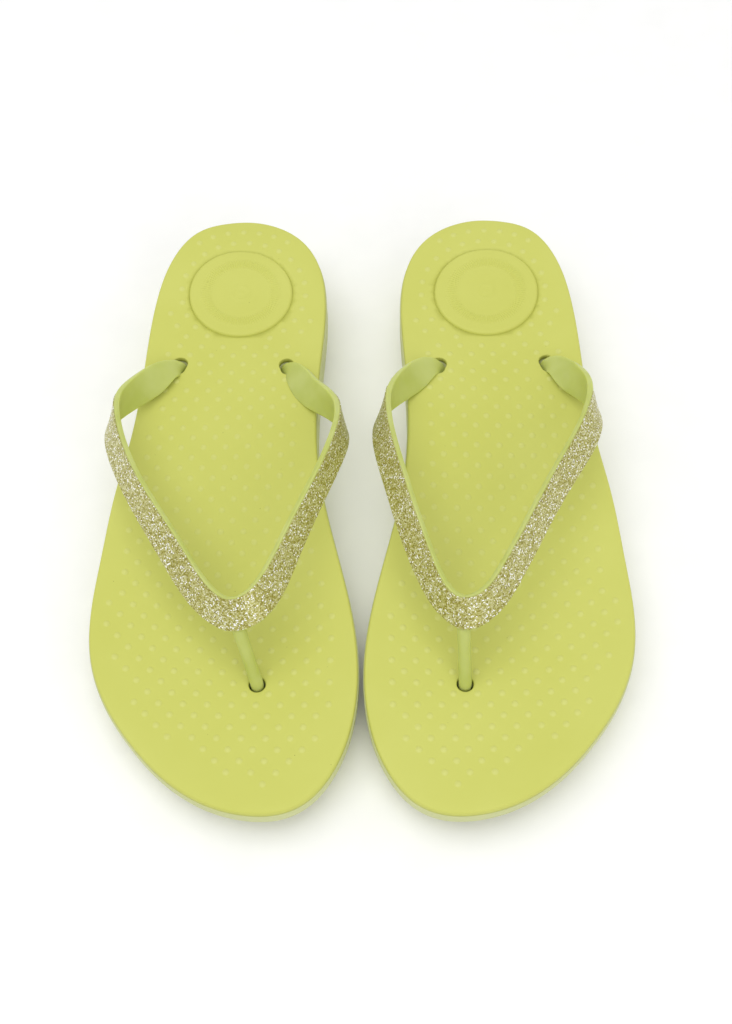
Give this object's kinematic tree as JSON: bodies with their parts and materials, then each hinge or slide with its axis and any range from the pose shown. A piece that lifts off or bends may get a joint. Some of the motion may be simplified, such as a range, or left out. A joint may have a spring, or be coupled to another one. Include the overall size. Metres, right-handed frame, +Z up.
{
  "type": "flip-flops",
  "caption": "Pair of thong sandals with contoured foam footbeds covered in raised dots, a round heel medallion, and translucent V straps with a glitter film.",
  "frame": {"origin": "on the floor, under the middle of the pair's bounding box", "axes": "-Y towards the toes, +Y towards the heels, +X towards the wearer's left, +Z up"},
  "size_m": [0.1942, 0.2519, 0.0541],
  "materials": {
    "footbed_foam": "matte moulded EVA foam",
    "heel_disc_foam": "matte moulded EVA foam",
    "sole_foam": "matte moulded EVA foam",
    "strap_tpu": "satin translucent TPU",
    "glitter_film": "metallic glitter under clear film",
    "washer_plastic": "moulded plastic",
    "grip_rubber": "matte moulded rubber"
  },
  "bodies": {
    "right_flip_flop": {"right_footbed": "footbed_foam", "right_heel_disc": "heel_disc_foam", "right_sole": "sole_foam", "right_strap": "strap_tpu", "right_toe_post": "strap_tpu", "right_glitter_film": "glitter_film", "right_toe_washer": "washer_plastic", "right_inner_washer": "washer_plastic", "right_outer_washer": "washer_plastic", "right_forefoot_grip": "grip_rubber", "right_heel_grip": "grip_rubber"},
    "left_flip_flop": {"left_footbed": "footbed_foam", "left_heel_disc": "heel_disc_foam", "left_sole": "sole_foam", "left_strap": "strap_tpu", "left_toe_post": "strap_tpu", "left_glitter_film": "glitter_film", "left_toe_washer": "washer_plastic", "left_inner_washer": "washer_plastic", "left_outer_washer": "washer_plastic", "left_forefoot_grip": "grip_rubber", "left_heel_grip": "grip_rubber"}
  },
  "joints": [
    {"name": "pair_spacing", "type": "slide", "parent": "right_flip_flop", "child": "left_flip_flop", "axis": [1, 0, 0], "range_m": [0, 0.25]}
  ]
}
